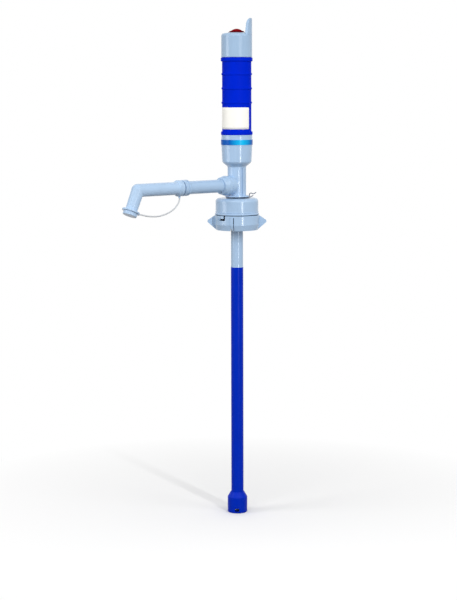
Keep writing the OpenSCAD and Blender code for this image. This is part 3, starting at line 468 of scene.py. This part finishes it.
def make_spring():
    low, high = [corner.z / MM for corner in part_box("button_spring")]
    count = SPRING_TURNS * SPRING_STEPS
    foot = low + SPRING_WIRE_R
    rise = (high - low - 2 * SPRING_WIRE_R) / count
    route = [polar(SPRING_R, 360 * k / SPRING_STEPS, foot + rise * k) * MM for k in range(count + 1)]
    spring = swept("press_spring", route, SPRING_WIRE_R * MM, SPRING_SIDES, steel)
    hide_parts("button_spring")
    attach(spring, "battery_cap")
    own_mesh(spring)


make_tether()
make_label()
make_clip()
make_spring()

# Camera: degrees round the axis, up and rolled, distance in metres, lens in millimetres, and the point
# that it looks at, as a height and a distance to the left of the pump's axis
CAMERA_SIDE, CAMERA_UP, CAMERA_ROLL = 228, 7.5, -0.15
CAMERA_DISTANCE, CAMERA_LENS = 2.2376, 94.8
CAMERA_AIM_Z, CAMERA_AIM_LEFT = -0.1396, 0.0122

# Soft light from the world, and the direction that its rear part comes from
WORLD_BELOW, WORLD_ABOVE, WORLD_BEHIND = 0.02, 0.26, 0.6
WORLD_REAR = polar(0.85, CAMERA_SIDE + 180, 0.5)
PICTURE_RAYS = ("Is Camera Ray", "Is Glossy Ray", "Is Transmission Ray")

# Floor, in metres: it keeps the whole shadow within the first distance and none past the second
FLOOR_Z, FLOOR_R, FLOOR_SIDES = cad_box[0].z, 6, 96
SHADOW_WHOLE, SHADOW_NONE = 0.12, 0.5
FLOOR_SEEN, FLOOR_BOUNCE = 0.93, 0.1

# Lamps: degrees round from the camera's side and up, distance, width, height and watts
LAMP_AIM = Vector((0, 0, -0.03))
LAMPS = {
    "key_strip": (28, 6, 1.5, 0.06, 1.6, 13),
    "left_box": (-72, 15, 1.8, 0.8, 1.4, 13),
    "front_box": (-8, 33, 2.6, 2.4, 1.6, 26),
    "right_box": (60, 30, 1.9, 0.8, 1.2, 6),
}


def picture_ray(tree):
    """1 on rays that show the background and 0 on those that light the object."""
    path = tree.nodes.new("ShaderNodeLightPath")
    total = path.outputs[PICTURE_RAYS[0]]
    for name in PICTURE_RAYS[1:]:
        total = maths(tree, "MAXIMUM", total, path.outputs[name])
    return total


def make_world():
    """White where it is seen, and soft light: weak from below, stronger from above and from behind."""
    world = bpy.data.worlds.new("studio")
    bpy.context.scene.world = world
    world.use_nodes = True
    tree = world.node_tree
    way = tree.nodes.new("ShaderNodeTexCoord").outputs["Generated"]
    height = spread(tree, axes(tree, way)["Z"], WORLD_BELOW, WORLD_ABOVE, -0.5, 0.5)
    rear = tree.nodes.new("ShaderNodeVectorMath")
    rear.operation = "DOT_PRODUCT"
    rear.inputs[1].default_value = WORLD_REAR
    tree.links.new(way, rear.inputs[0])
    soft = maths(tree, "ADD", height, spread(tree, rear.outputs["Value"], 0, WORLD_BEHIND, 0, 1))
    tree.links.new(mixed(tree, picture_ray(tree), soft, grey(1)), tree.nodes["Background"].inputs["Color"])


def make_floor():
    """A pale floor that keeps the shadow near the object and runs out into plain white."""
    rim = [polar(FLOOR_R, 360 * k / FLOOR_SIDES, FLOOR_Z) for k in range(FLOOR_SIDES)]
    faces = [(0, k + 1, (k + 1) % FLOOR_SIDES + 1) for k in range(FLOOR_SIDES)]
    material = bpy.data.materials.new("floor_white")
    material.use_nodes = True
    # The plain white is for the picture alone, so it isn't sampled as a lamp
    material.cycles.emission_sampling = "NONE"
    tree = material.node_tree
    tree.nodes.clear()
    shown = picture_ray(tree)
    place = tree.nodes.new("ShaderNodeTexCoord").outputs["Object"]
    reach = tree.nodes.new("ShaderNodeVectorMath")
    reach.operation = "LENGTH"
    tree.links.new(mapped(tree, place, "Scale", (1, 1, 0)), reach.inputs[0])
    away = spread(tree, reach.outputs["Value"], 0, 1, SHADOW_WHOLE, SHADOW_NONE)
    matt = tree.nodes.new("ShaderNodeBsdfDiffuse")
    tree.links.new(mixed(tree, shown, grey(FLOOR_BOUNCE), grey(FLOOR_SEEN)), matt.inputs["Color"])
    white = tree.nodes.new("ShaderNodeEmission")
    white.inputs["Strength"].default_value = 1
    mix = tree.nodes.new("ShaderNodeMixShader")
    tree.links.new(maths(tree, "MULTIPLY", away, shown), mix.inputs["Fac"])
    tree.links.new(matt.outputs["BSDF"], mix.inputs[1])
    tree.links.new(white.outputs["Emission"], mix.inputs[2])
    out = tree.nodes.new("ShaderNodeOutputMaterial")
    tree.links.new(mix.outputs["Shader"], out.inputs["Surface"])
    new_piece("floor", [(0, 0, FLOOR_Z), *rim], faces, material, smooth=False)


def add_facing(name, data, aim, side_deg, up_deg, distance, roll_deg=0):
    """A lamp or camera that looks at a point from a distance."""
    item = bpy.data.objects.new(name, data)
    bpy.context.scene.collection.objects.link(item)
    up = math.radians(up_deg)
    back = polar(math.cos(up), side_deg, math.sin(up))
    item.location = aim + back * distance
    item.rotation_mode = "QUATERNION"
    roll = Quaternion((0, 0, 1), math.radians(roll_deg))
    item.rotation_quaternion = (-back).to_track_quat("-Z", "Y") @ roll
    return item


def make_lamps():
    for name, (turn, up, distance, width, height, watts) in LAMPS.items():
        data = bpy.data.lights.new(name, "AREA")
        data.shape = "RECTANGLE"
        data.size, data.size_y = width, height
        data.energy = watts
        add_facing(name, data, LAMP_AIM, CAMERA_SIDE + turn, up, distance)


def make_camera():
    data = bpy.data.cameras.new("camera")
    data.lens = CAMERA_LENS
    aim = polar(CAMERA_AIM_LEFT, CAMERA_SIDE - 90, CAMERA_AIM_Z)
    bpy.context.scene.camera = add_facing(
        "camera", data, aim, CAMERA_SIDE, CAMERA_UP, CAMERA_DISTANCE, CAMERA_ROLL)


make_world()
make_floor()
make_lamps()
make_camera()
bpy.context.scene.view_settings.view_transform = "Standard"
